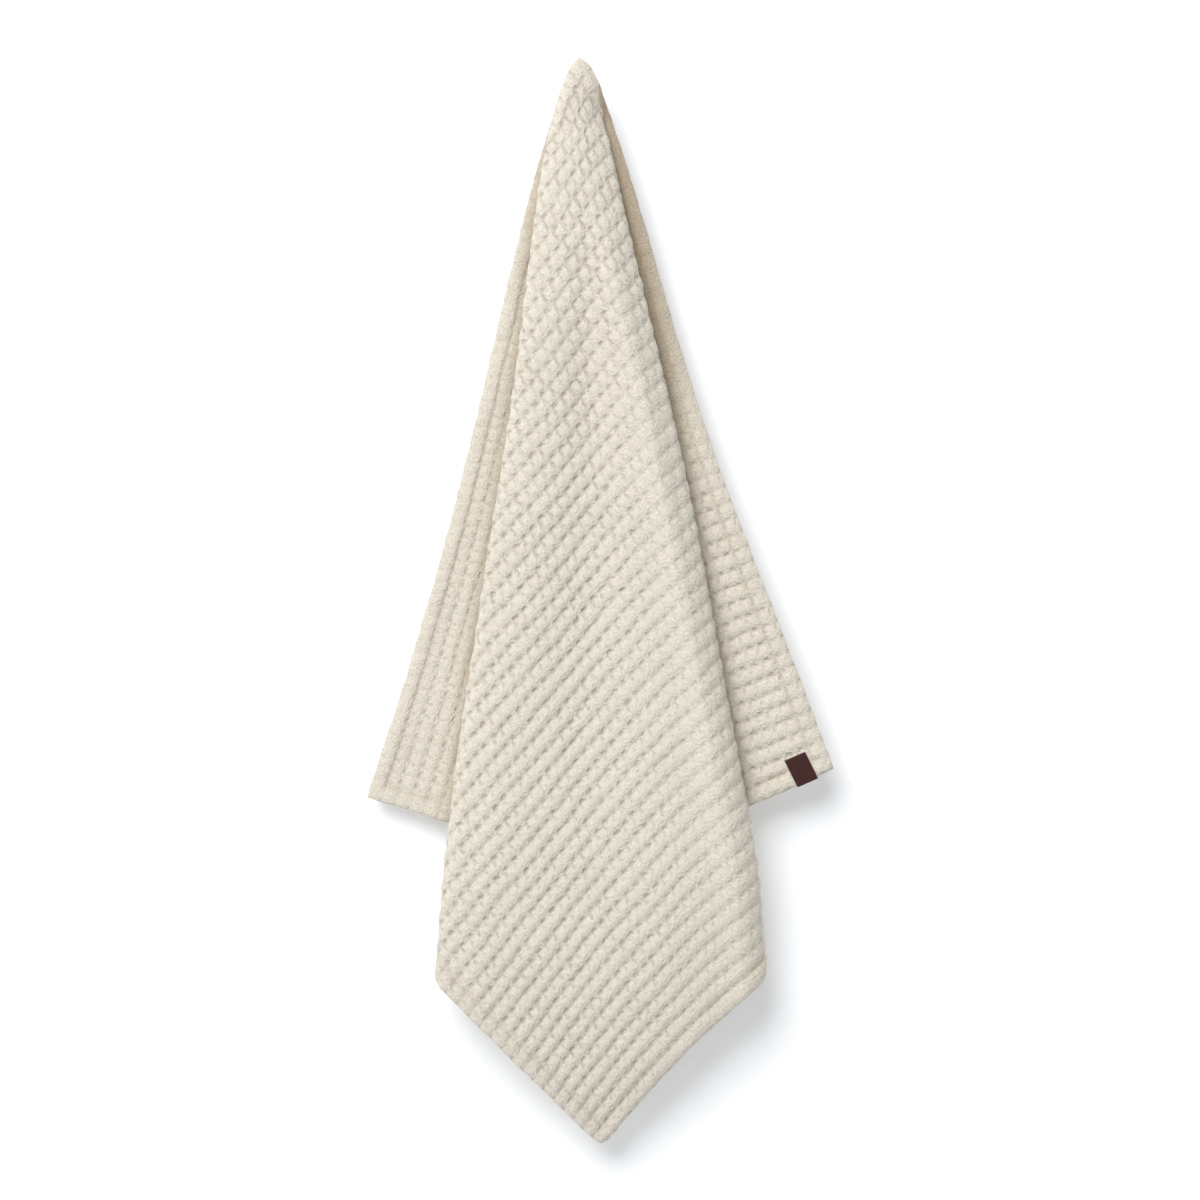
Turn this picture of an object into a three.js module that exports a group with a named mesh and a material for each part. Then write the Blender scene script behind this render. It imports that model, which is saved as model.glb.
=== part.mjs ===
// A waffle bath towel hanging by one corner, in millimetres, +Z up. The origin is the hung corner.
// The cloth faces -Y: a front panel lies over two wings, and on each side the cloth turns back
// behind the panel to a hidden inner bend and comes out again as the wing.
import * as THREE from 'three';

// The cloth as it is cut: two side hems run from the hung corner, left and right, and two lower
// hems run from their ends to the bottom corner. A point of the flat cloth is (u, v): u runs along
// the left side hem, v along the right one.
const LEFT_SIDE = 700;
const RIGHT_SIDE = 680;
const CLOTH_THICKNESS = 3;
const HEM_WIDTH = 18;
const HEM_EXTRA_THICKNESS = 1;
const CORNER_PULL = 3.6;
const CORNER_REACH = 8;
const OUTER_CORNER_SHARE = 0.3;

// The fold lines are straight in the flat cloth, each from a point of a side hem to a point of a
// lower hem.
const FOLD_LINES = {
  leftInner: { fromU: 59, fromV: 0, toU: LEFT_SIDE, toV: 240 },
  leftFold: { fromU: 59, fromV: 0, toU: LEFT_SIDE, toV: 438 },
  rightFold: { fromU: 0, fromV: 26, toU: 459, toV: RIGHT_SIDE },
  rightInner: { fromU: 0, fromV: 14, toU: 229, toV: RIGHT_SIDE },
};

// The weave draws out under its own weight. Near the hung corner it gives most: TIP_GIVE in all,
// dying away over TIP_GIVE_REACH. The rest is a stretch that depends on the direction from the
// hung corner, in degrees from the left side hem.
const TIP_GIVE = 36;
const TIP_GIVE_REACH = 250;
const STRETCH = [
  { angle: 0, stretch: 1.012 },
  { angle: 7, stretch: 1.012 },
  { angle: 19, stretch: 1.016 },
  { angle: 32, stretch: 1.043 },
  { angle: 39, stretch: 1.046 },
  { angle: 44, stretch: 1.04 },
  { angle: 50, stretch: 1.041 },
  { angle: 56, stretch: 1.054 },
  { angle: 71, stretch: 1.035 },
  { angle: 83, stretch: 1.029 },
  { angle: 90, stretch: 1.02 },
];

// Where the hems, folds and inner bends hang at each reach, which is the straight distance from
// the hung corner: the hems and folds across, to the right being +X, and below them the same for
// the inner bends. Above PINNING_START all the bends lie where the cloth puts them, and over
// PINNING_RUN they pass to these places.
const ACROSS = [
  { reach: 0, leftHem: 0, leftFold: 0, rightFold: 0, rightHem: 0 },
  { reach: 13, leftHem: -9.4, leftFold: -9.4, rightFold: 9, rightHem: 9.8 },
  { reach: 30, leftHem: -15.8, leftFold: -15.8, rightFold: 14.5, rightHem: 18.6 },
  { reach: 50, leftHem: -22.4, leftFold: -22.4, rightFold: 17.5, rightHem: 25.4 },
  { reach: 70, leftHem: -28.2, leftFold: -28, rightFold: 21.5, rightHem: 31.7 },
  { reach: 100, leftHem: -37, leftFold: -33.5, rightFold: 28.5, rightHem: 41.4 },
  { reach: 150, leftHem: -50.7, leftFold: -40.2, rightFold: 40.8, rightHem: 56.5 },
  { reach: 200, leftHem: -63.1, leftFold: -46.9, rightFold: 52.4, rightHem: 70.8 },
  { reach: 300, leftHem: -86.1, leftFold: -58.9, rightFold: 75.6, rightHem: 98.7 },
  { reach: 400, leftHem: -109.2, leftFold: -73.3, rightFold: 97.7, rightHem: 129.5 },
  { reach: 500, leftHem: -134.5, leftFold: -88.8, rightFold: 117.4, rightHem: 164 },
  { reach: 600, leftHem: -162.3, leftFold: -104.1, rightFold: 135, rightHem: 200.3 },
  { reach: 700, leftHem: -192.8, leftFold: -118.2, rightFold: 153.3, rightHem: 235.8 },
  { reach: 800, leftHem: -226, leftFold: -129.6, rightFold: 170.2, rightHem: 272 },
  { reach: 900, leftHem: -260, leftFold: -136.8, rightFold: 178.2, rightHem: 308 },
  { reach: 1050, leftHem: -310, leftFold: -146, rightFold: 186, rightHem: 362 },
];
const INNER_ACROSS = [
  { reach: 0, leftInner: -29, rightInner: 19 },
  { reach: 70, leftInner: -29, rightInner: 19 },
  { reach: 100, leftInner: -28, rightInner: 21.5 },
  { reach: 150, leftInner: -26, rightInner: 24 },
  { reach: 200, leftInner: -22.5, rightInner: 24.5 },
  { reach: 300, leftInner: -15, rightInner: 24 },
  { reach: 400, leftInner: -8.5, rightInner: 23 },
  { reach: 600, leftInner: 1, rightInner: 23.5 },
  { reach: 800, leftInner: 9, rightInner: 27 },
  { reach: 1050, leftInner: 16, rightInner: 33 },
];
const PINNING_START = 98;
const PINNING_RUN = 70;

// The radius of the front and inner bends at each reach.
const BENDS = [
  { reach: 0, frontBend: 3.2, innerBend: 3.2 },
  { reach: 25, frontBend: 3.2, innerBend: 3.2 },
  { reach: 50, frontBend: 3.2, innerBend: 3.2 },
  { reach: 70, frontBend: 3.3, innerBend: 3.2 },
  { reach: 100, frontBend: 3.6, innerBend: 3.3 },
  { reach: 150, frontBend: 4.4, innerBend: 3.8 },
  { reach: 200, frontBend: 5.2, innerBend: 4.4 },
  { reach: 300, frontBend: 6.5, innerBend: 5.6 },
  { reach: 400, frontBend: 7.6, innerBend: 6.6 },
  { reach: 600, frontBend: 9.4, innerBend: 8.2 },
  { reach: 750, frontBend: 10.8, innerBend: 9.3 },
  { reach: 800, frontBend: 11.2, innerBend: 9.6 },
  { reach: 900, frontBend: 12, innerBend: 10.3 },
  { reach: 975, frontBend: 12.3, innerBend: 10.7 },
  { reach: 1050, frontBend: 12.5, innerBend: 11 },
];

// How far the cloth stands out of its flat folds at each reach: how far the panel crowns forward
// between its folds, the soft trough that runs down it, how far each wing bows forward, the panel's
// shoulder inside its right fold, how far back the panel leans towards its end, and how far the
// right side hem turns forward.
const RELIEF = [
  { reach: 0, crown: 0, trough: 0, leftBow: 0, rightBow: 0, shoulder: 0, lean: 0, turn: 0 },
  { reach: 25, crown: 5, trough: 0, leftBow: 0, rightBow: 0, shoulder: 0, lean: 0, turn: 0 },
  { reach: 50, crown: 9, trough: 0, leftBow: 0, rightBow: 0, shoulder: 0, lean: 0, turn: 0 },
  { reach: 70, crown: 10, trough: 0, leftBow: 0, rightBow: 0, shoulder: 0, lean: 0, turn: 0 },
  { reach: 100, crown: 9, trough: 0, leftBow: 0.3, rightBow: 0, shoulder: 0, lean: 0, turn: 0 },
  { reach: 150, crown: 8, trough: 0.5, leftBow: 0.6, rightBow: 0, shoulder: 3, lean: 0, turn: 0 },
  { reach: 200, crown: 8, trough: 3, leftBow: 1, rightBow: 0, shoulder: 6, lean: 0, turn: 0.5 },
  { reach: 300, crown: 8, trough: 9, leftBow: 2, rightBow: 1.5, shoulder: 6.5, lean: 0, turn: 2 },
  { reach: 400, crown: 9, trough: 10, leftBow: 3, rightBow: 4, shoulder: 6.5, lean: 0, turn: 5 },
  { reach: 600, crown: 11, trough: 10, leftBow: 5, rightBow: 8, shoulder: 6, lean: 0, turn: 10 },
  { reach: 750, crown: 13.5, trough: 9.3, leftBow: 6.1, rightBow: 9.5, shoulder: 5.3, lean: 0, turn: 13 },
  { reach: 800, crown: 14, trough: 9, leftBow: 6.5, rightBow: 10, shoulder: 5, lean: 0.5, turn: 13.5 },
  { reach: 900, crown: 14, trough: 5, leftBow: 7, rightBow: 10, shoulder: 2, lean: 10, turn: 14 },
  { reach: 975, crown: 12, trough: 2, leftBow: 7, rightBow: 10, shoulder: 0, lean: 22.5, turn: 14 },
  { reach: 1050, crown: 9, trough: 1.5, leftBow: 7, rightBow: 10, shoulder: 0, lean: 40, turn: 14 },
];

// The trough lies TROUGH_ANGLE degrees from the left side hem and the shoulder SHOULDER_IN inside
// the right fold. The right wing comes forward over WING_RISE of its width from its inner bend.
const TROUGH_ANGLE = 43;
const TROUGH_SPREAD = 4.8;
const SHOULDER_IN = 27;
const SHOULDER_SPREAD = 14;
const WING_RISE = 0.6;

// A full fold turns the cloth by TURN_BACK. The crown and the bows rise softly out of the folds,
// over SOFT_END of their width. The hems beside the hung corner lie HEM_BACK behind it.
const TURN_BACK = THREE.MathUtils.degToRad(177);
const SOFT_END = 0.15;
const HEM_BACK = 5;
const HEM_BACK_REACH = 60;

// The label is a leather strip folded round the right lower hem, LABEL_DROP past its edge. It is
// placed by its distance from the hem's outer end, and squared to the hem by LABEL_SKEW, a drift
// per unit of height.
const LABEL_FROM_CORNER = 17;
const LABEL_WIDTH = 20;
const LABEL_HEIGHT = 26;
const LABEL_THICKNESS = 1;
const LABEL_SKEW = 0.09;
const LABEL_GAP = 0.45;
const LABEL_DROP = 1;
const LABEL_STATIONS = 4;
const LABEL_FACE_STEPS = 3;
const LABEL_FOLD_STEPS = 6;

// How finely the surfaces are divided. Above GRID_RAY_LEFT and GRID_RAY_RIGHT on the side hems the
// grid's columns run straight to the hung corner.
const BEND_STEPS = 3;
const WING_STEPS = 9;
const TURNED_STEPS = 3;
const HALF_PANEL_STEPS = 7;
const LEAST_STRAIGHT = 0.3;
const ROWS = [
  { count: 3, toSide: 18 },
  { count: 12, toSide: 110 },
  { count: 6, toSide: 230 },
  { count: 9, toSide: LEFT_SIDE - HEM_WIDTH },
  { count: 1, toSide: LEFT_SIDE },
];
const GRID_RAY_LEFT = 90;
const GRID_RAY_RIGHT = 60;
const SLOPE_STEP = 0.5;

const QUARTER = Math.PI / 2;
const TINY = 1e-9;

function clamp(t, low, high) {
  return Math.min(Math.max(t, low), high);
}

function mix(a, b, t) {
  return a + (b - a) * t;
}

function smooth(t) {
  const c = clamp(t, 0, 1);
  return c * c * (3 - 2 * c);
}

// Slope of a table's column at row i: the mean of the slopes on both sides, each weighted by the
// other side's length, or the only slope at an end.
function tableSlope(table, key, column, i) {
  const slope = (a, b) => (table[b][column] - table[a][column]) / (table[b][key] - table[a][key]);
  const last = table.length - 1;
  if (i === 0) return slope(0, 1);
  if (i === last) return slope(last - 1, last);
  const before = table[i][key] - table[i - 1][key];
  const after = table[i + 1][key] - table[i][key];
  return (slope(i - 1, i) * after + slope(i, i + 1) * before) / (before + after);
}

// A table's column at x, on a smooth cubic through its rows.
function tableValue(table, key, column, x) {
  let i = 0;
  while (i < table.length - 2 && x >= table[i + 1][key]) i += 1;
  const low = table[i];
  const high = table[i + 1];
  const run = high[key] - low[key];
  const t = clamp((x - low[key]) / run, 0, 1);
  const leaving = tableSlope(table, key, column, i) * run * t * (1 - t) ** 2;
  const arriving = tableSlope(table, key, column, i + 1) * run * t * t * (t - 1);
  const level = low[column] * (1 + 2 * t) * (1 - t) ** 2 + high[column] * t * t * (3 - 2 * t);
  return level + leaving + arriving;
}

// Direction, from the left side hem, of the point where a fold line is this far from the corner.
function foldDirection(line, distance) {
  const heading = Math.atan2(line.toV - line.fromV, line.toU - line.fromU);
  const offset = line.fromU * Math.sin(heading) - line.fromV * Math.cos(heading);
  const swing = Math.asin(clamp(offset / Math.max(distance, TINY), -1, 1));
  return clamp(heading - swing, 0, QUARTER);
}

// Arc lengths, from the left side hem, at which a section of the flat cloth meets the fold lines
// and ends at the right side hem. A section is an arc about the hung corner.
function sectionMarks(distance) {
  const leftFold = foldDirection(FOLD_LINES.leftFold, distance) * distance;
  const rightFold = foldDirection(FOLD_LINES.rightFold, distance) * distance;
  return {
    leftInner: Math.min(foldDirection(FOLD_LINES.leftInner, distance) * distance, leftFold),
    leftFold,
    rightFold,
    rightInner: Math.max(foldDirection(FOLD_LINES.rightInner, distance) * distance, rightFold),
    rightHem: QUARTER * distance,
  };
}

// Step of a curve whose heading changes evenly from one angle to another over a length.
function curveStep(length, fromHeading, toHeading) {
  const turn = toHeading - fromHeading;
  if (Math.abs(turn) < TINY) return [length * Math.cos(fromHeading), length * Math.sin(fromHeading)];
  const radius = length / turn;
  return [
    radius * (Math.sin(toHeading) - Math.sin(fromHeading)),
    radius * (Math.cos(fromHeading) - Math.cos(toHeading)),
  ];
}

// The folded section from above, free of any crown or bow: its heading is 0 across to the right,
// and each bend turns it evenly over the bend's arc. Gives a function from arc length to [x, y].
function foldedCurve(marks, reach) {
  const frontArc = Math.PI * tableValue(BENDS, 'reach', 'frontBend', reach);
  const innerArc = Math.PI * tableValue(BENDS, 'reach', 'innerBend', reach);
  const bends = [
    { middle: marks.leftInner, arc: innerArc, turn: -TURN_BACK },
    { middle: marks.leftFold, arc: frontArc, turn: TURN_BACK },
    { middle: marks.rightFold, arc: frontArc, turn: TURN_BACK },
    { middle: marks.rightInner, arc: innerArc, turn: -TURN_BACK },
  ];
  const turned = (s, { middle, arc, turn }) => turn * clamp((s - middle) / arc + 0.5, 0, 1);
  const heading = (s) => bends.reduce((sum, bend) => sum + turned(s, bend), 0);
  const ends = bends.flatMap(({ middle, arc }) => [middle - arc / 2, middle + arc / 2]);
  const stops = [0, ...ends.map((s) => clamp(s, 0, marks.rightHem)), marks.rightHem];
  stops.sort((a, b) => a - b);
  return (s) => {
    let [x, y] = [0, 0];
    for (let k = 1; k < stops.length && stops[k - 1] < s; k += 1) {
      const to = Math.min(stops[k], s);
      const step = curveStep(to - stops[k - 1], heading(stops[k - 1]), heading(to));
      x += step[0];
      y += step[1];
    }
    return [x, y];
  };
}

// A wing's bow at a share of the way from its hem to its inner bend, where it ends softly.
function bowShape(share) {
  const inside = clamp(share, 0, 1);
  return Math.sin(Math.PI * inside) * smooth((1 - inside) / SOFT_END);
}

// The panel's crown at a share of the way from its left fold to its right one, soft at both.
function crownShape(share) {
  return bowShape(share) * smooth(share / SOFT_END);
}

// The folded curve drawn in or out, part by part, so that its hems and bends hang at their places
// across. Its panel and its hems lie equally far before and behind y = 0.
function pinnedPoint(s, marks, reach) {
  const curve = foldedCurve(marks, reach);
  const across = (column) => tableValue(ACROSS, 'reach', column, reach);
  const innerAcross = (column) => tableValue(INNER_ACROSS, 'reach', column, reach);
  const pins = [
    { s: 0, x: across('leftHem') },
    { s: marks.leftInner, x: innerAcross('leftInner') },
    { s: marks.leftFold, x: across('leftFold') },
    { s: marks.rightFold, x: across('rightFold') },
    { s: marks.rightInner, x: innerAcross('rightInner') },
    { s: marks.rightHem, x: across('rightHem') },
  ];
  const panelMiddle = (marks.leftFold + marks.rightFold) / 2;
  const free = pins.map((pin) => curve(pin.s));
  const evenScale = (pins[5].x - pins[0].x) / Math.max(free[5][0], TINY);
  const pinning = smooth((reach - PINNING_START) / PINNING_RUN);
  let [x, y, panelY] = [pins[0].x, 0, 0];
  for (let k = 1; k < pins.length; k += 1) {
    const from = pins[k - 1];
    const pinned = pinning > 0 ? (pins[k].x - from.x) / (free[k][0] - free[k - 1][0]) : evenScale;
    const scale = mix(evenScale, pinned, pinning);
    const own = curve(clamp(s, from.s, pins[k].s));
    const middle = curve(clamp(panelMiddle, from.s, pins[k].s));
    x += scale * (own[0] - free[k - 1][0]);
    y += scale * (own[1] - free[k - 1][1]);
    panelY += scale * (middle[1] - free[k - 1][1]);
  }
  return [x, y - panelY / 2];
}

// x and y of the hanging cloth at a direction and distance in the flat cloth and at a reach.
function sectionPoint(direction, distance, reach) {
  const marks = sectionMarks(distance);
  const s = direction * distance;
  const relief = (column) => tableValue(RELIEF, 'reach', column, reach);
  const [x, y] = pinnedPoint(s, marks, reach);
  const degrees = THREE.MathUtils.radToDeg(direction);
  const hill = (away, spread) => Math.exp(-((away / spread) ** 2));
  const trough = relief('trough') * hill(degrees - TROUGH_ANGLE, TROUGH_SPREAD);
  const panelWidth = marks.rightFold - marks.leftFold + TINY;
  const crown = relief('crown') * crownShape((s - marks.leftFold) / panelWidth);
  const shoulder = relief('shoulder') * hill(marks.rightFold - s - SHOULDER_IN, SHOULDER_SPREAD);
  const leftBow = relief('leftBow') * bowShape(s / (marks.leftInner + TINY));
  const rightWidth = marks.rightHem - marks.rightInner + TINY;
  const fromInner = clamp(1 - (marks.rightHem - s) / rightWidth, 0, 1);
  const rightBow = relief('rightBow') * smooth(fromInner / WING_RISE) + relief('turn') * fromInner ** 2;
  const back = HEM_BACK * smooth(reach / HEM_BACK_REACH) + relief('lean');
  return [x, y + back + trough - crown - shoulder - leftBow - rightBow];
}

// The cut corners are a little round: a point near one lies drawn in towards the middle, by
// CORNER_PULL along both sides at the corner itself, dying away over CORNER_REACH.
function roundedCorner(u, v) {
  const pull = (toU, toV) => {
    const away = Math.abs(toU - u) + Math.abs(toV - v);
    return CORNER_PULL * Math.exp(-away / CORNER_REACH);
  };
  const bottom = pull(LEFT_SIDE, RIGHT_SIDE);
  const left = pull(LEFT_SIDE, 0) * OUTER_CORNER_SHARE;
  const right = pull(0, RIGHT_SIDE) * OUTER_CORNER_SHARE;
  return [u - bottom - left + right, v - bottom + left - right];
}

// Where the point (u, v) of the flat cloth's middle layer hangs.
function hungPoint(cutU, cutV) {
  const [u, v] = roundedCorner(cutU, cutV);
  const distance = Math.hypot(u, v);
  const direction = Math.atan2(v, u);
  const stretch = tableValue(STRETCH, 'angle', 'stretch', THREE.MathUtils.radToDeg(direction));
  const reach = stretch * distance + TIP_GIVE * (1 - Math.exp(-distance / TIP_GIVE_REACH));
  const [x, y] = sectionPoint(clamp(direction, 0, QUARTER), distance, reach);
  return new THREE.Vector3(x, y, -Math.sqrt(Math.max(reach ** 2 - x ** 2 - y ** 2, 0)));
}

// Unit vector out of the cloth's front face at (u, v).
function frontNormal(u, v) {
  const lowU = Math.max(u - SLOPE_STEP, 0);
  const lowV = Math.max(v - SLOPE_STEP, 0);
  const alongU = hungPoint(u + SLOPE_STEP, v).sub(hungPoint(lowU, v));
  const alongV = hungPoint(u, v + SLOPE_STEP).sub(hungPoint(u, lowV));
  return alongU.cross(alongV).normalize();
}

// Half the cloth's thickness at (u, v): the hems are a little thicker.
function halfThickness(u, v) {
  const toEdge = Math.min(u, v, LEFT_SIDE - u, RIGHT_SIDE - v);
  const hem = 1 - smooth(toEdge / HEM_WIDTH - 0.5);
  return (CLOTH_THICKNESS + HEM_EXTRA_THICKNESS * hem) / 2;
}

// Shares of a run at which the grid's columns stand: BEND_STEPS in the bend at each end, and even
// steps between them.
function runShares(length, fromTurn, toTurn, straightSteps) {
  const room = ((1 - LEAST_STRAIGHT) * length) / (fromTurn + toTurn + TINY);
  const fromShare = (fromTurn * Math.min(room, 1)) / length;
  const toShare = (toTurn * Math.min(room, 1)) / length;
  const shares = [];
  if (fromTurn > 0) {
    for (let k = 0; k < BEND_STEPS; k += 1) shares.push((fromShare * k) / BEND_STEPS);
  }
  for (let k = 0; k < straightSteps; k += 1) shares.push(mix(fromShare, 1 - toShare, k / straightSteps));
  if (toTurn > 0) {
    for (let k = 0; k < BEND_STEPS; k += 1) shares.push(mix(1 - toShare, 1, k / BEND_STEPS));
  }
  return shares;
}

// Distances along one half of a row, from its hem to the diagonal, at which its columns stand. The
// fold lines cross it at inner and front.
function halfRow(toDiagonal, inner, front, turns) {
  const run = (from, to, fromTurn, toTurn, steps) => {
    const shares = runShares(to - from, fromTurn, toTurn, steps);
    return shares.map((share) => mix(from, to, share));
  };
  return [
    ...run(0, inner, 0, turns.inner, WING_STEPS),
    ...run(inner, front, turns.inner, turns.front, TURNED_STEPS),
    ...run(front, toDiagonal, turns.front, 0, HALF_PANEL_STEPS),
  ];
}

// Points of the flat cloth along one row of the grid. A row runs parallel to the lower hems, from
// the left side hem to the diagonal and on to the right side hem.
function rowPoints(part) {
  const u = part * LEFT_SIDE;
  const v = part * RIGHT_SIDE;
  const rayU = Math.max(u, GRID_RAY_LEFT);
  const rayV = Math.max(v, GRID_RAY_RIGHT);
  const leftMark = ({ fromU, fromV, toU, toV }) => {
    const slope = (toV - fromV) / (toU - fromU);
    return (slope * (rayU - fromU) * u) / rayU;
  };
  const rightMark = ({ fromU, fromV, toU, toV }) => {
    const slope = (toU - fromU) / (toV - fromV);
    return (slope * (rayV - fromV) * v) / rayV;
  };
  const reach = Math.hypot(u, v);
  const turns = {
    front: QUARTER * tableValue(BENDS, 'reach', 'frontBend', reach),
    inner: QUARTER * tableValue(BENDS, 'reach', 'innerBend', reach),
  };
  const left = halfRow(v, leftMark(FOLD_LINES.leftInner), leftMark(FOLD_LINES.leftFold), turns);
  const right = halfRow(u, rightMark(FOLD_LINES.rightInner), rightMark(FOLD_LINES.rightFold), turns);
  return [
    ...left.map((along) => [u, along]),
    [u, v],
    ...right.reverse().map((along) => [along, v]),
  ];
}

// Row positions as parts of the way from the hung corner to the lower hems.
function rowParts() {
  const parts = [];
  let side = 0;
  for (const { count, toSide } of ROWS) {
    for (let k = 1; k <= count; k += 1) parts.push(mix(side, toSide, k / count) / LEFT_SIDE);
    side = toSide;
  }
  return parts;
}

// The cloth's closed body: a front and a back layer of points that meet along the hems. The hung
// corner is one point of each layer, and the first row fans out from it.
function clothGeometry() {
  const grid = rowParts().map(rowPoints);
  const rows = grid.length;
  const columns = grid[0].length;
  const perLayer = 1 + rows * columns;
  const positions = [];
  for (const side of [1, -1]) {
    for (const [u, v] of [[0, 0], ...grid.flat()]) {
      const point = hungPoint(u, v).addScaledVector(frontNormal(u, v), side * halfThickness(u, v));
      positions.push(point.x, point.y, point.z);
    }
  }
  const id = (row, column) => (row < 0 ? 0 : 1 + row * columns + column);
  const faces = [];
  const layerFace = (a, b, c) => faces.push(a, b, c, a + perLayer, c + perLayer, b + perLayer);
  for (let row = -1; row < rows - 1; row += 1) {
    for (let column = 0; column < columns - 1; column += 1) {
      const below = row + 1;
      layerFace(id(row, column), id(below, column), id(below, column + 1));
      if (row >= 0) layerFace(id(row, column), id(below, column + 1), id(row, column + 1));
    }
  }
  const edge = [0];
  for (let row = 0; row < rows; row += 1) edge.push(id(row, 0));
  for (let column = 1; column < columns; column += 1) edge.push(id(rows - 1, column));
  for (let row = rows - 2; row >= 0; row -= 1) edge.push(id(row, columns - 1));
  edge.forEach((here, k) => {
    const next = edge[(k + 1) % edge.length];
    faces.push(here, here + perLayer, next, next, here + perLayer, next + perLayer);
  });
  return closedGeometry(positions, faces);
}

function closedGeometry(positions, faces) {
  const geometry = new THREE.BufferGeometry();
  geometry.setAttribute('position', new THREE.Float32BufferAttribute(positions, 3));
  geometry.setIndex(faces);
  geometry.computeVertexNormals();
  return geometry;
}

// The label's section, across the hem: one closed outline of (up, out), up being the height above
// the hem's edge and out the distance in front of the cloth's middle.
function labelSection() {
  const inner = (CLOTH_THICKNESS + HEM_EXTRA_THICKNESS) / 2 + LABEL_GAP;
  const outer = inner + LABEL_THICKNESS;
  const heights = [];
  for (let k = LABEL_FACE_STEPS; k >= 0; k -= 1) heights.push((LABEL_HEIGHT * k) / LABEL_FACE_STEPS);
  const round = (radius, drop) => {
    const points = [];
    for (let k = 1; k < LABEL_FOLD_STEPS; k += 1) {
      const turn = (Math.PI * k) / LABEL_FOLD_STEPS;
      points.push([-drop * Math.sin(turn), radius * Math.cos(turn)]);
    }
    return points;
  };
  const wayDown = (out) => heights.map((up) => [up, out]);
  const wayUp = (out) => wayDown(out).reverse();
  return [
    ...wayDown(outer),
    ...round(outer, LABEL_DROP + LABEL_THICKNESS),
    ...wayUp(-outer),
    ...wayDown(-inner),
    ...round(-inner, LABEL_DROP),
    ...wayUp(inner),
  ];
}

// A point of the label: on the cloth's own surface above the hem's edge, and straight on past it.
function labelPoint(fromCorner, up, out) {
  const v = RIGHT_SIDE - Math.max(up, 0);
  const u = fromCorner + LABEL_SKEW * up;
  const point = hungPoint(u, v).addScaledVector(frontNormal(u, v), out);
  if (up >= 0) return point;
  const outward = hungPoint(u, v).sub(hungPoint(u, v - SLOPE_STEP)).normalize();
  return point.addScaledVector(outward, -up);
}

// The label's closed body: its section carried along the hem, with an end cap on each side. The
// section is a folded strip, so a cap is a row of quads between its outer and inner lines.
function labelGeometry() {
  const section = labelSection();
  const stations = LABEL_STATIONS;
  const positions = [];
  for (let k = 0; k <= stations; k += 1) {
    const fromCorner = LABEL_FROM_CORNER + (LABEL_WIDTH * k) / stations;
    for (const [up, out] of section) positions.push(...labelPoint(fromCorner, up, out).toArray());
  }
  const count = section.length;
  const faces = [];
  const quad = (a, b, c, d) => faces.push(a, b, c, a, c, d);
  for (let k = 0; k < stations; k += 1) {
    for (let n = 0; n < count; n += 1) {
      const next = (n + 1) % count;
      quad(k * count + n, (k + 1) * count + n, (k + 1) * count + next, k * count + next);
    }
  }
  const last = stations * count;
  for (let n = 0; n < count / 2 - 1; n += 1) {
    const across = count - 1 - n;
    quad(n, n + 1, across - 1, across);
    quad(last + n, last + across, last + across - 1, last + n + 1);
  }
  return closedGeometry(positions, faces);
}

function piece(name, geometry, material) {
  const mesh = new THREE.Mesh(geometry, new THREE.MeshStandardMaterial(material));
  mesh.name = name;
  return mesh;
}

const towelHanging = new THREE.Group();
towelHanging.add(
  piece('towel', clothGeometry(), { color: 0xe6dece, roughness: 0.95, metalness: 0 }),
  piece('label', labelGeometry(), { color: 0x4a2a26, roughness: 0.6, metalness: 0 }),
);

export default towelHanging;
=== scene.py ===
"""A waffle bath towel hung by one corner, with a leather label folded round a lower hem.

The cloth is one closed sheet worked out over its own flat plane: where each point hangs, then the
relief of the waffle cells and the hems on both faces. Lengths are millimetres until a mesh is made.
"""
import math

import bpy
import numpy as np
from bpy.props import FloatProperty, FloatVectorProperty, IntProperty, PointerProperty
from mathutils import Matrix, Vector


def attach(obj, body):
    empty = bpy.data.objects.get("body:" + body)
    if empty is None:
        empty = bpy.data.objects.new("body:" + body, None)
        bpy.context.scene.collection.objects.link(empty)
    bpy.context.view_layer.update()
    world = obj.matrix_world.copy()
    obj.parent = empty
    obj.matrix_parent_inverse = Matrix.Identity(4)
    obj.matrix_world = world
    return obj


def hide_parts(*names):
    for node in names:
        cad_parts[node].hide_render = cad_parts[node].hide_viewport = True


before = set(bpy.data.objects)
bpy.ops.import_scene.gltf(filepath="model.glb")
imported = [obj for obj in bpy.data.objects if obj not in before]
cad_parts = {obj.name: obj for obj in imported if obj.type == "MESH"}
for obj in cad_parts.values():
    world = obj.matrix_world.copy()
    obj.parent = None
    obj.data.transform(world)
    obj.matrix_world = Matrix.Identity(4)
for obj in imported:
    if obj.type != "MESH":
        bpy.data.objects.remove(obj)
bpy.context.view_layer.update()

bl_info = {
    "name": "Waffle bath towel",
    "version": (1, 0, 0),
    "blender": (4, 5, 0),
    "location": "View3D > Sidebar > Towel",
    "description": "Builds a waffle bath towel hung by one corner, its label and a plain stage",
    "category": "Add Mesh",
}

MM = 0.001
TINY = 1e-9
QUARTER = math.pi / 2


# Colours and small helpers.


def linear(code):
    """Linear light from an sRGB hex code: each channel c becomes c / 12.92 when it is at most 0.04045,
    and ((c + 0.055) / 1.055) ** 2.4 otherwise."""
    channels = [int(code[k : k + 2], 16) / 255 for k in (1, 3, 5)]
    return tuple(c / 12.92 if c <= 0.04045 else ((c + 0.055) / 1.055) ** 2.4 for c in channels)


def mix(low, high, share):
    return low + (high - low) * share


def smooth(t):
    """3 t^2 - 2 t^3, with t kept between 0 and 1."""
    t = np.clip(t, 0, 1)
    return t * t * (3 - 2 * t)


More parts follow.
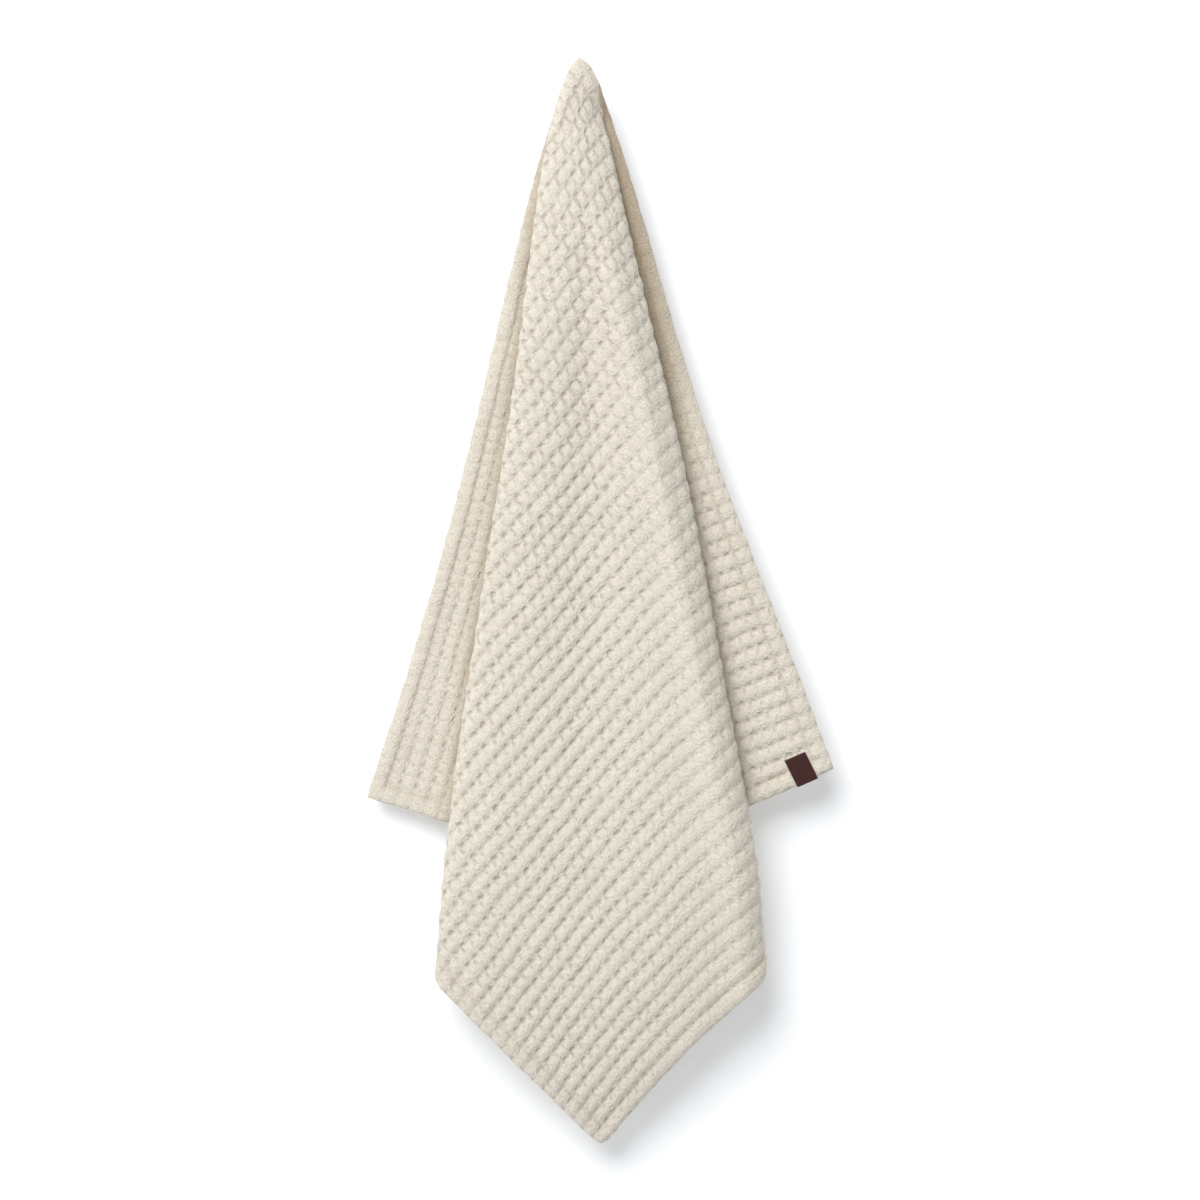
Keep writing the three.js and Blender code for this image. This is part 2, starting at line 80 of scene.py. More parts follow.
def table(names, *rows):
    """Rows of numbers as one array for each name."""
    return dict(zip(names.split(), np.array(rows, float).T))


def value(rows, name, at):
    """A column of a table, on a cubic that passes through its rows. The slope at a row is the mean
    of the slopes on both sides, each weighted by the other side's length."""
    x, y = next(iter(rows.values())), rows[name]
    slope = np.gradient(y, x)
    i = np.clip(np.searchsorted(x, at, side="right") - 1, 0, len(x) - 2)
    run = x[i + 1] - x[i]
    t = np.clip((at - x[i]) / run, 0, 1)
    level = y[i] * (1 + 2 * t) * (1 - t) ** 2 + y[i + 1] * t * t * (3 - 2 * t)
    return level + slope[i] * run * t * (1 - t) ** 2 + slope[i + 1] * run * t * t * (t - 1)


def drift(seed, a, b, spacing):
    """A smooth random field from -1 to 1: random values on a square lattice, blended between lattice
    points by the smoothed fraction along a and along b."""
    x, y = np.maximum(a / spacing, 0), np.maximum(b / spacing, 0)
    i, j = np.floor(x).astype(int), np.floor(y).astype(int)
    lattice = np.random.default_rng(seed).uniform(-1, 1, (i.max() + 2, j.max() + 2))
    s, t = smooth(x - i), smooth(y - j)
    near = mix(lattice[i, j], lattice[i + 1, j], s)
    far = mix(lattice[i, j + 1], lattice[i + 1, j + 1], s)
    return mix(near, far, t)


def own_value(seed, a, b):
    """A random value from 0 to 1 for each waffle cell: that of the nearest whole (a, b)."""
    i, j = np.rint(a).astype(int), np.rint(b).astype(int)
    return np.random.default_rng(seed).uniform(0, 1, (i.max() + 1, j.max() + 1))[i, j]


# How the cloth hangs.

# The flat cloth is (u, v): u runs down the left side hem from the hung corner, v down the right one.
LEFT_SIDE = 700
RIGHT_SIDE = 680
HALF_THICKNESS = 0.9
CORNER_PULL = 3.6
CORNER_REACH = 8
OUTER_CORNER_SHARE = 0.3

# The four fold lines, straight in the flat cloth: from u, from v, to u, to v.
LEFT_INNER = (59, 0, LEFT_SIDE, 240)
LEFT_FOLD = (59, 0, LEFT_SIDE, 438)
RIGHT_FOLD = (0, 26, 459, RIGHT_SIDE)
RIGHT_INNER = (0, 14, 229, RIGHT_SIDE)

# The weave gives under its own weight: by the direction from the hung corner, and most near it.
TIP_GIVE = 36
TIP_GIVE_REACH = 250
STRETCH = table(
    "angle stretch",
    (0, 1.012), (7, 1.012), (19, 1.016), (32, 1.043), (39, 1.046), (44, 1.04),
    (50, 1.041), (56, 1.054), (71, 1.035), (83, 1.029), (90, 1.02),
)  # fmt: skip

# Where the hems, folds and inner bends hang across, at each reach from the hung corner.
ACROSS = table(
    "reach left_hem left_fold right_fold right_hem",
    (0, 0, 0, 0, 0),
    (13, -9.4, -9.4, 9, 9.8),
    (30, -15.8, -15.8, 14.5, 18.6),
    (50, -22.4, -22.4, 17.5, 25.4),
    (70, -28.2, -28, 21.5, 31.7),
    (100, -37, -33.5, 28.5, 41.4),
    (150, -50.7, -40.2, 40.8, 56.5),
    (200, -63.1, -46.9, 52.4, 70.8),
    (300, -86.1, -58.9, 75.6, 98.7),
    (400, -109.2, -73.3, 97.7, 129.5),
    (500, -134.5, -88.8, 117.4, 164),
    (600, -162.3, -104.1, 135, 200.3),
    (700, -192.8, -118.2, 153.3, 235.8),
    (800, -226, -129.6, 170.2, 272),
    (900, -260, -136.8, 178.2, 308),
    (1050, -310, -146, 186, 362),
)
INNER_ACROSS = table(
    "reach left_inner right_inner",
    (0, -29, 19), (70, -29, 19), (100, -28, 21.5), (150, -26, 24), (200, -22.5, 24.5),
    (300, -15, 24), (400, -8.5, 23), (600, 1, 23.5), (800, 9, 27), (1050, 16, 33),
)  # fmt: skip
PINNING_START = 98
PINNING_RUN = 70

# How deep the folds stand at each reach.
DEPTH = table(
    "reach front_bend inner_bend crown trough left_bow right_bow shoulder lean turn",
    (0, 3.2, 3.2, 0, 0, 0, 0, 0, 0, 0),
    (25, 3.2, 3.2, 5, 0, 0, 0, 0, 0, 0),
    (50, 3.2, 3.2, 9, 0, 0, 0, 0, 0, 0),
    (70, 3.3, 3.2, 10, 0, 0, 0, 0, 0, 0),
    (100, 3.6, 3.3, 9, 0, 0.3, 0, 0, 0, 0),
    (150, 4.4, 3.8, 8, 0.5, 0.6, 0, 3, 0, 0),
    (200, 5.2, 4.4, 8, 3, 1, 0, 6, 0, 0.5),
    (300, 6.5, 5.6, 8, 9, 2, 1.5, 6.5, 0, 2),
    (400, 7.6, 6.6, 9, 10, 3, 4, 6.5, 0, 5),
    (600, 9.4, 8.2, 11, 10, 5, 8, 6, 0, 10),
    (750, 10.8, 9.3, 13.5, 9.3, 6.1, 9.5, 5.3, 0, 13),
    (800, 11.2, 9.6, 14, 9, 6.5, 10, 5, 0.5, 13.5),
    (900, 12, 10.3, 14, 5, 7, 10, 2, 10, 14),
    (975, 12.3, 10.7, 12, 2, 7, 10, 0, 22.5, 14),
    (1050, 12.5, 11, 9, 1.5, 7, 10, 0, 40, 14),
)
TROUGH_ANGLE = 43
TROUGH_SPREAD = 4.8
SHOULDER_IN = 27
SHOULDER_SPREAD = 14
SHOULDER_FULLER = 4.5
SHOULDER_FULLER_FROM = 150
SHOULDER_FULLER_RUN = 100
WING_RISE = 0.6
CURL = 3
CURL_SPREAD = 9
CURL_RUN = 200
TURN_BACK = math.radians(177)
SOFT_END = 0.15
HEM_BACK = 5
HEM_BACK_REACH = 60


def fold_direction(line, distance):
    """Direction from the left side hem at which a fold line is this far from the hung corner: the
    line's heading less the arcsine of (its offset from the corner / distance)."""
    from_u, from_v, to_u, to_v = line
    heading = math.atan2(to_v - from_v, to_u - from_u)
    offset = from_u * math.sin(heading) - from_v * math.cos(heading)
    swing = np.arcsin(np.clip(offset / np.maximum(distance, TINY), -1, 1))
    return np.clip(heading - swing, 0, QUARTER)


def section_marks(distance):
    """Arc lengths at which a section, an arc of the flat cloth about the hung corner, meets its left
    hem, four fold lines and right hem: direction x distance for each."""
    left_fold = fold_direction(LEFT_FOLD, distance) * distance
    right_fold = fold_direction(RIGHT_FOLD, distance) * distance
    left_inner = np.minimum(fold_direction(LEFT_INNER, distance) * distance, left_fold)
    right_inner = np.maximum(fold_direction(RIGHT_INNER, distance) * distance, right_fold)
    hem = QUARTER * distance
    return np.stack([0 * hem, left_inner, left_fold, right_fold, right_inner, hem])


def folded_curve(marks, reach):
    """The folded section seen from above. Its heading is the sum over the four bends of
    turn x clip((s - middle) / arc + 1/2, 0, 1), and the curve is the integral of (cos, sin) of the
    heading, exact over each run in which the heading changes evenly."""
    front_arc = math.pi * value(DEPTH, "front_bend", reach)
    inner_arc = math.pi * value(DEPTH, "inner_bend", reach)
    arcs = np.stack([inner_arc, front_arc, front_arc, inner_arc])
    turns = TURN_BACK * np.array([-1, 1, 1, -1])
    middles, hem = marks[1:5], marks[5]

    def heading(s):
        shares = np.clip((s - middles) / arcs + 0.5, 0, 1)
        return np.tensordot(turns, shares, 1)

    ends = np.clip(np.concatenate([middles - arcs / 2, middles + arcs / 2]), 0, hem)
    stops = np.sort(np.concatenate([[0 * hem], ends, [hem]]), axis=0)
    headings = [heading(stop) for stop in stops]

    def curve(s):
        x, y = np.zeros_like(s), np.zeros_like(s)
        for low, high, start in zip(stops[:-1], stops[1:], headings[:-1]):
            to = np.clip(s, low, high)
            end = heading(to)
            turn = end - start
            straight = np.abs(turn) < TINY
            radius = (to - low) / np.where(straight, 1, turn)
            x += np.where(straight, (to - low) * np.cos(start), radius * (np.sin(end) - np.sin(start)))
            y += np.where(straight, (to - low) * np.sin(start), radius * (np.cos(start) - np.cos(end)))
        return np.stack([x, y])

    return curve


def pinned_section(s, marks, reach):
    """The folded curve drawn in or out, part by part, so that its hems and bends hang at their
    places across. Near the hung corner one scale serves the whole section: its width over the free
    curve's width. Panel and hems lie equally far before and behind y = 0."""
    curve = folded_curve(marks, reach)
    names = ("left_hem", "left_inner", "left_fold", "right_fold", "right_inner", "right_hem")
    tables = (ACROSS, INNER_ACROSS, ACROSS, ACROSS, INNER_ACROSS, ACROSS)
    pins = np.stack([value(rows, name, reach) for rows, name in zip(tables, names)])
    free = np.stack([curve(mark) for mark in marks])
    even = (pins[5] - pins[0]) / np.maximum(free[5, 0], TINY)
    pinning = smooth((reach - PINNING_START) / PINNING_RUN)
    middle = (marks[2] + marks[3]) / 2
    point, panel_y = np.stack([pins[0], np.zeros_like(s)]), np.zeros_like(s)
    for k in range(1, 6):
        width = free[k, 0] - free[k - 1, 0]
        pinned = (pins[k] - pins[k - 1]) / np.where(pinning > 0, width, 1)
        scale = mix(even, np.where(pinning > 0, pinned, even), pinning)
        point += scale * (curve(np.clip(s, marks[k - 1], marks[k])) - free[k - 1])
        panel_y += scale * (curve(np.clip(middle, marks[k - 1], marks[k])) - free[k - 1])[1]
    return point[0], point[1] - panel_y / 2


def bow_shape(share):
    """sin(pi share), brought softly to zero over the last SOFT_END of the way."""
    inside = np.clip(share, 0, 1)
    return np.sin(math.pi * inside) * smooth((1 - inside) / SOFT_END)


def rounded_corner(u, v):
    """The cut corners are a little round: points near one are drawn in along both sides by
    CORNER_PULL exp(-(|du| + |dv|) / CORNER_REACH)."""

    def pull(to_u, to_v):
        return CORNER_PULL * np.exp(-(np.abs(to_u - u) + np.abs(to_v - v)) / CORNER_REACH)

    bottom = pull(LEFT_SIDE, RIGHT_SIDE)
    left = pull(LEFT_SIDE, 0) * OUTER_CORNER_SHARE
    right = pull(0, RIGHT_SIDE) * OUTER_CORNER_SHARE
    return u - bottom - left + right, v - bottom + left - right


def hung(u, v):
    """Where the middle layer's point (u, v) hangs. Its straight distance from the hung corner is the
    reach: stretch x distance + TIP_GIVE (1 - exp(-distance / TIP_GIVE_REACH)). The folded section
    gives x and y, and z = -sqrt(reach^2 - x^2 - y^2). Into y go the trough, crown, shoulder and lean,
    the bows of both wings, the right wing's turn to the front and its hem's curl to the back, which
    is CURL exp(-((hem - s) / CURL_SPREAD)^2)."""
    u, v = rounded_corner(u, v)
    distance = np.hypot(u, v)
    direction = np.clip(np.arctan2(v, u), 0, QUARTER)
    degrees = np.degrees(direction)
    give = TIP_GIVE * (1 - np.exp(-distance / TIP_GIVE_REACH))
    reach = value(STRETCH, "stretch", degrees) * distance + give
    marks = section_marks(distance)
    s = direction * distance
    x, y = pinned_section(s, marks, reach)
    trough = value(DEPTH, "trough", reach) * np.exp(-(((degrees - TROUGH_ANGLE) / TROUGH_SPREAD) ** 2))
    share = (s - marks[2]) / (marks[3] - marks[2] + TINY)
    crown = value(DEPTH, "crown", reach) * bow_shape(share) * smooth(share / SOFT_END)
    left_bow = value(DEPTH, "left_bow", reach) * bow_shape(s / (marks[1] + TINY))
    from_right = (marks[5] - s) / (marks[5] - marks[4] + TINY)
    right_bow = value(DEPTH, "right_bow", reach) * smooth((1 - from_right) / WING_RISE)
    right_bow += value(DEPTH, "turn", reach) * np.clip(1 - from_right, 0, 1) ** 2
    curl = CURL * smooth(reach / CURL_RUN) * np.exp(-(((marks[5] - s) / CURL_SPREAD) ** 2))
    inside = (marks[3] - s - SHOULDER_IN) / SHOULDER_SPREAD
    fuller = SHOULDER_FULLER * smooth((reach - SHOULDER_FULLER_FROM) / SHOULDER_FULLER_RUN)
    shoulder = (value(DEPTH, "shoulder", reach) + fuller) * np.exp(-(inside**2))
    back = HEM_BACK * smooth(reach / HEM_BACK_REACH) + value(DEPTH, "lean", reach)
    y = y + back + trough + curl - crown - left_bow - right_bow - shoulder
    return np.stack([x, y, -np.sqrt(np.maximum(reach**2 - x**2 - y**2, 0))], axis=-1)


def front_normal(u, v, step=0.5):
    """Unit vector out of the front face: the cross product of short steps along u and along v."""
    low_u, low_v = np.maximum(u - step, 0), np.maximum(v - step, 0)
    along_u = hung(u + step, v) - hung(low_u, v)
    along_v = hung(u, v + step) - hung(u, low_v)
    normal = np.cross(along_u, along_v)
    return normal / np.linalg.norm(normal, axis=-1, keepdims=True)


# The waffle cells and the hems.

# Waffle cells in all along each side, and the knots of the mesh as shares of a cell. A cell's hollow
# is at its whole numbers.
CELLS_U = 61
CELLS_V = 46
KNOTS_U = (0.05, 0.31, 0.58, 0.84)
KNOTS_V = (0, 0.14, 0.5, 0.86)
HEM_KNOTS = (0, 0.6, 2, 5, 8.5, 12, 14.3, 15.6, 17)
FIRST_KNOT = 18.3

# A cell is looked at from CELL_LEFT and CELL_ABOVE its hollow to one cell further on.
CELL_LEFT = 0.45
CELL_ABOVE = 0.25

# Where the hollow, its tail and the knobs lie, as shares of a cell.
HOLLOW_ARCH = 0.55
HOLLOW_RISE = 0.03
HOLLOW_SHIFT = 0.02
TAIL_START = 0.24
TAIL_LEAN = 0.28
KNOB_SHIFT = 0.65
KNOBS_JOINED = 0.85
JOINED_FROM = 0.35
JOINED_RUN = 0.3
GROOVE_HALF = 0.16
HOLLOW_HALF = 0.2
HOLLOW_FLAT = 0.12
HOLLOW_RUN = 0.3
TAIL_HALF = 0.18
TAIL_RISE = 0.1
TAIL_END = 0.38
TAIL_LONGER = 0.3
TAIL_FADE = 0.35

# Heights of the relief, in millimetres, and how uneven they are from cell to cell.
PILLOW = 1.5
GROOVE = 0.4
HOLLOW = 1.15
TAIL = 0.42
PUFF_SPREAD = 0.45
HOLLOW_RANGE = (0.5, 1.4)
TAIL_RANGE = (0.4, 1.4)
BETWEEN_KNOBS = 0.55
DRAWN_FLATTER = 0.4

# The hems: their height, rounding, puckers and stitch line.
EDGE_ROUND = 2
EDGE_HALF = 0.25
LEAST_HALF = 0.4
HEM_HALF = 2.0
HEM_PLUMP = 0.6
HEM_RELIEF = 0.5
PUCKER_FINE = 0.6
PUCKER_WIDE = 0.4
PUCKER_FINE_CELLS = 0.45
PUCKER_WIDE_CELLS = 0.9
STITCH_FROM_EDGE = 15.6
STITCH_WANDER = 0.9
STITCH_WIDTH = 1.2
STITCH_PULL = 1.3
STITCH_TIGHT = (0.7, 1.3)
HEM_ENDS = 14
HEM_ENDS_RUN = 5

# How the relief calms down and the cells are drawn out, by the distance from the hung corner.
TIP_RELIEF = 0.4
TIP_RELIEF_FROM = 30
TIP_RELIEF_RUN = 140
DRAWN_MOST = 0.75
DRAWN_FROM = 120
DRAWN_RUN = 500
HIGH_FROM = 230
HIGH_RUN = 230

# Strengths of the relief, and the shade painted beside the panel's folds.
HEM_CALM = 0.65
HEM_CALM_TO = 13
HEM_CALM_RUN = 6
HIGH_CALM = 0.9
LEFT_WING_STRENGTH = 0.6
RIGHT_WING_STRENGTH = (0.9, 0.4)
FLANK_ANGLE = 53
FLANK_SPREAD = 5
FLANK_CALM = 0.45
FLANK_FROM = 150
FLANK_RUN = 150
SHELTER_CALM = 0.6
VALLEY = 11
LEFT_VALLEY = 0.8
HIGH_VALLEY = 1.8
LEFT_SHELTER = 0.62
RIGHT_SHELTER = (0.33, 1)
STITCH_SHADE = 0.4
STITCH_SHADE_WIDTH = 1.6

# How far the cells stray, in millimetres: one by one, and in groups a few cells wide.
STRAY_U = 0.8
STRAY_V = 0.7
GROUP_U = 1.3
GROUP_V = 1.1
GROUP_CELLS_U = 3.3
GROUP_CELLS_V = 3.7

# How deep the edge is scalloped, in millimetres.
SCALLOP = 0.5

# The back's cells are this far off in the pattern's third direction, so that they differ.
BACK_CELLS = 50

# Cells stray freely from this far inside the edge, over this run.
FREE_FROM = 12
FREE_RUN = 14

# Where the label lies, in millimetres along the hem and off it, how its ends are rounded, and the
# place that is pressed flat under it.
LABEL_FROM_CORNER = 17
LABEL_SKEW = 0.09
LABEL_GAP = 0.45
LABEL_ROUND = 0.45
LABEL_ENDS = (0, 0.06, 0.2, LABEL_ROUND)
LABEL_THIN = 0.1
LABEL_OFF_EDGE = 1
PRESSED_WIDE = 20
PRESSED_HIGH = 30
PRESSED_ROUND = 3
PRESSED_RUN = 2.5

# Empty border round each half of the bake map, as a share of the map.
BAKE_BORDER = 0.01


def knots(side, cells, shares):
    """Mesh knots along a side: the hem's knots at both ends and each cell's own shares between."""
    pitch = side / cells
    inner = ((np.arange(cells + 1)[:, None] + np.array(shares)) * pitch).ravel()
    inner = inner[(inner > FIRST_KNOT) & (inner < side - FIRST_KNOT)]
    hem = np.array(HEM_KNOTS)
    return np.concatenate([hem, inner, side - hem[::-1]])


def waffle(a, b, drawn, seed):
    """Height of the waffle relief at cell coordinates (a, b), with (x, y) the offset from the cell's
    hollow. Along b a pillow is 1 - |2 f - 1|^2, f being the share of the way over it, and along a it
    is a knob, 0.5 - 0.5 cos(2 pi (a + KNOB_SHIFT)), joined to the next one over the far half of a
    cell. Drawn out cells are less joined, their rows are flatter and their tails longer. Off the
    pillow come a groove on y = 0, a hollow arched over the pillow, on y = HOLLOW_ARCH x^2 -
    HOLLOW_RISE, and a tail down the pillow's side, on x = TAIL_START + TAIL_LEAN y."""
    i, j = np.floor(a + CELL_LEFT), np.floor(b + CELL_ABOVE)
    x, y = a - i, b - j
    deep = mix(*HOLLOW_RANGE, own_value(seed, i + 1, j + 1))
    side = mix(*TAIL_RANGE, own_value(seed + 2, i + 1, j + 1))
    puff = 1 + PUFF_SPREAD * drift(seed + 1, a + 0.5, b + 0.5, 1)
    over = b - np.floor(b)
    over_v = 1 - np.abs(2 * over - 1) ** 2
    over_v = mix(over_v, 1, DRAWN_FLATTER * drawn)
    knob = 0.5 - 0.5 * np.cos(2 * math.pi * (a + KNOB_SHIFT))
    over_u = mix(knob, KNOBS_JOINED, smooth((over - JOINED_FROM) / JOINED_RUN) * (1 - drawn))
    groove = 1 - smooth(np.abs(b - np.rint(b)) / GROOVE_HALF)
    across = 1 - smooth(np.abs(y - HOLLOW_ARCH * x * x + HOLLOW_RISE) / HOLLOW_HALF)
    along = 1 - smooth((np.abs(x + HOLLOW_SHIFT) - HOLLOW_FLAT) / HOLLOW_RUN)
    beside = 1 - smooth(np.abs(x - TAIL_START - TAIL_LEAN * y) / TAIL_HALF)
    fading = smooth((y - TAIL_END - TAIL_LONGER * drawn) / TAIL_FADE)
    tail = beside * smooth(y / TAIL_RISE) * (1 - fading)
    pillow = PILLOW * puff * over_v * mix(BETWEEN_KNOBS, 1, over_u)
    return pillow - GROOVE * groove - HOLLOW * deep * across * along - TAIL * (1 + drawn) * side * tail


def label_share(u, v):
    """1 under the label, where the hem is pressed flat, and 0 a few millimetres away from it."""
    up = RIGHT_SIDE - v
    along = u - LABEL_FROM_CORNER - LABEL_SKEW * up
    side = np.minimum(along, PRESSED_WIDE - along)
    return smooth((side + PRESSED_ROUND) / PRESSED_RUN) * smooth((PRESSED_HIGH - up) / PRESSED_ROUND)


def face_height(u, v, a, b, strong, drawn, seed):
    """Distance of a face of the cloth from its middle layer. Inside the hems it is half the
    thickness and the waffle relief. A hem is a plump band, sin(pi e / STITCH_FROM_EDGE) over the
    distance e from the edge, puckered, pulled in along its stitch line and rounded over its last
    EDGE_ROUND as a circle. Under the label it is pressed flat."""
    edge = np.minimum(np.minimum(u, LEFT_SIDE - u), np.minimum(v, RIGHT_SIDE - v))
    distance = np.hypot(u, v)
    shown = strong * mix(TIP_RELIEF, 1, smooth((distance - TIP_RELIEF_FROM) / TIP_RELIEF_RUN))
    inside = smooth((edge - HEM_ENDS) / HEM_ENDS_RUN)
    pressed = label_share(u, v)
    relief = waffle(a, b, drawn, seed) * shown
    fine = drift(seed + 3, a, b, PUCKER_FINE_CELLS) * PUCKER_FINE
    pucker = fine + drift(seed + 4, a, b, PUCKER_WIDE_CELLS) * PUCKER_WIDE
    line = edge - STITCH_FROM_EDGE - STITCH_WANDER * drift(seed + 5, a, b, 2)
    tight = mix(*STITCH_TIGHT, drift(seed + 6, a, b, 0.7) * 0.5 + 0.5)
    stitch = STITCH_PULL * np.exp(-((line / STITCH_WIDTH) ** 2)) * tight
    band = HEM_PLUMP * np.sin(math.pi * np.clip(edge / STITCH_FROM_EDGE, 0, 1))
    hem = HEM_HALF + (band + pucker + HEM_RELIEF * relief) * (1 - pressed) - stitch * (1 - pressed)
    hem = mix(hem, np.minimum(hem, HEM_HALF), pressed)
    body = HALF_THICKNESS + relief
    height = mix(hem, body, inside)
    height = mix(height, np.minimum(height, HEM_HALF), pressed)
    rounding = np.sqrt(1 - (1 - np.clip(edge / EDGE_ROUND, 0, 1)) ** 2)
    return np.maximum(height, LEAST_HALF) * rounding + EDGE_HALF * (1 - rounding)


def showing(u, v, outer):
    """What a place on one face shows of its cells, all set to the photograph's look: how strongly, how
    far they are drawn out lengthwise, and how much shade is painted on it. Cells are drawn out near
    the hung corner and calm on the hems. On the outer face they are also calm on the wings and on
    the panel to the right of its trough, and the wings are shaded in the valleys beside the panel,
    by exp(-(x / valley width)^2) over the distance x from the fold. Both faces have a little shade
    along the hems' stitch lines. The shade stands in for light that the stage doesn't keep out of
    the valleys: it isn't a colour of the cotton."""
    distance = np.hypot(u, v)
    drawn = DRAWN_MOST * (1 - smooth((distance - DRAWN_FROM) / DRAWN_RUN))
    edge = np.minimum(np.minimum(u, LEFT_SIDE - u), np.minimum(v, RIGHT_SIDE - v))
    calm = mix(HEM_CALM, 1, smooth((edge - HEM_CALM_TO) / HEM_CALM_RUN))
    stitched = STITCH_SHADE * np.exp(-(((edge - STITCH_FROM_EDGE) / STITCH_SHADE_WIDTH) ** 2))
    stitched = stitched * (1 - label_share(u, v))
    if not outer:
        return calm, drawn, stitched
    direction = np.arctan2(v, u)
    marks = section_marks(distance)
    s = direction * distance
    reach = distance + TIP_GIVE
    x = hung(u, v)[..., 0]
    left_wing, right_wing = s < marks[1], s > marks[4]
    panel = (s > marks[2]) & (s < marks[3])
    high = 1 - smooth((distance - HIGH_FROM) / HIGH_RUN)
    left_width = LEFT_VALLEY * VALLEY
    right_width = mix(VALLEY, HIGH_VALLEY * VALLEY, high)
    left_gap = np.maximum(value(ACROSS, "left_fold", reach) - x, 0) / left_width
    right_gap = np.maximum(x - value(ACROSS, "right_fold", reach), 0) / right_width
    left_shelter = LEFT_SHELTER * np.exp(-(left_gap**2))
    right_shelter = mix(*RIGHT_SHELTER, high) * np.exp(-(right_gap**2))
    sheltered = np.where(left_wing, left_shelter, np.where(right_wing, right_shelter, 0))
    flank = np.exp(-(((np.degrees(direction) - FLANK_ANGLE) / FLANK_SPREAD) ** 2))
    flank = flank * smooth((distance - FLANK_FROM) / FLANK_RUN)
    right_strength = mix(*RIGHT_WING_STRENGTH, high)
    strong = np.where(left_wing, LEFT_WING_STRENGTH, np.where(right_wing, right_strength, 1))
    strong = strong * (1 - FLANK_CALM * flank * panel) * (1 - SHELTER_CALM * sheltered)
    strong = strong * mix(1, HIGH_CALM, high) * calm
    return strong, drawn, np.maximum(sheltered, stitched)


def closed_sheet(outer, inner):
    """Points and quads of a closed sheet from two grids of points, its outer and inner face, joined
    by one ring of quads round their shared edge."""
    rows, columns = outer.shape[:2]
    ids = np.arange(rows * columns).reshape(rows, columns)
    face = np.stack([ids[:-1, :-1], ids[1:, :-1], ids[1:, 1:], ids[:-1, 1:]], -1).reshape(-1, 4)
    ring = np.concatenate([ids[:, 0], ids[-1, 1:], ids[-2::-1, -1], ids[0, -2:0:-1]])
    onward = np.roll(ring, -1)
    below = rows * columns
    wall = np.stack([onward, ring, ring + below, onward + below], -1)
    points = np.concatenate([outer.reshape(-1, 3), inner.reshape(-1, 3)])
    return points, np.concatenate([face, face[:, ::-1] + below, wall])


def make_piece(name, points, quads, material):
    """A smooth-shaded mesh object from points in millimetres and quads."""
    mesh = bpy.data.meshes.new(name)
    mesh.vertices.add(len(points))
    mesh.vertices.foreach_set("co", (points * MM).astype(np.float32).ravel())
    mesh.loops.add(quads.size)
    mesh.loops.foreach_set("vertex_index", quads.astype(np.int32).ravel())
    mesh.polygons.add(len(quads))
    mesh.polygons.foreach_set("loop_start", np.arange(0, quads.size, 4, dtype=np.int32))
    mesh.polygons.foreach_set("use_smooth", np.ones(len(quads), bool))
    mesh.materials.append(material)
    mesh.update(calc_edges=True)
    mesh.validate()
    piece = bpy.data.objects.new(name, mesh)
    bpy.context.scene.collection.objects.link(piece)
    return piece


def add_vectors(mesh, name, vectors):
    mesh.attributes.new(name, "FLOAT_VECTOR", "POINT")
    mesh.attributes[name].data.foreach_set("vector", vectors.astype(np.float32).ravel())


def add_bake_map(mesh, plane):
    """A UV map from each point's own place in the unit square."""
    corners = np.empty(len(mesh.loops), np.int32)
    mesh.loops.foreach_get("vertex_index", corners)
    layer = mesh.uv_layers.new(name="OFBake", do_init=False)
    layer.uv.foreach_set("vector", plane[corners].astype(np.float32).ravel())


# Materials.

# Heights that the bump adds, in millimetres, how far a hollow's colour is mixed towards the colour of its
# painted shade, and what the painted shade beside the folds and stitch lines multiplies colours by.
PIT_BUMP = 1.05
MOUND_BUMP = 0.95
YARN_BUMP = 1.6
HOLLOW_SHADE = 0.46
VALLEY_TINT = (0.64, 0.57, 0.48)


def add(tree, kind, settings=None, **inputs):
    """Adds a shader node, sets its settings, and sets or links its inputs by name. An input name's
    underscores stand for spaces, and _0, _1 and _2 are inputs by number."""
    node = tree.nodes.new("ShaderNode" + kind)
    for name, setting in (settings or {}).items():
        setattr(node, name, setting)
    for name, given in inputs.items():
        socket = node.inputs[int(name[1:])] if name[1:].isdigit() else node.inputs[name.replace("_", " ")]
        if isinstance(given, bpy.types.NodeSocket):
            tree.links.new(given, socket)
        elif isinstance(given, bpy.types.Node):
            tree.links.new(given.outputs[0], socket)
        else:
            socket.default_value = given
    return node


def new_material(name):
    """A material with an empty node tree and its output node."""
    material = bpy.data.materials.new(name)
    material.use_nodes = True
    material.node_tree.nodes.clear()
    return material, material.node_tree, material.node_tree.nodes.new("ShaderNodeOutputMaterial")


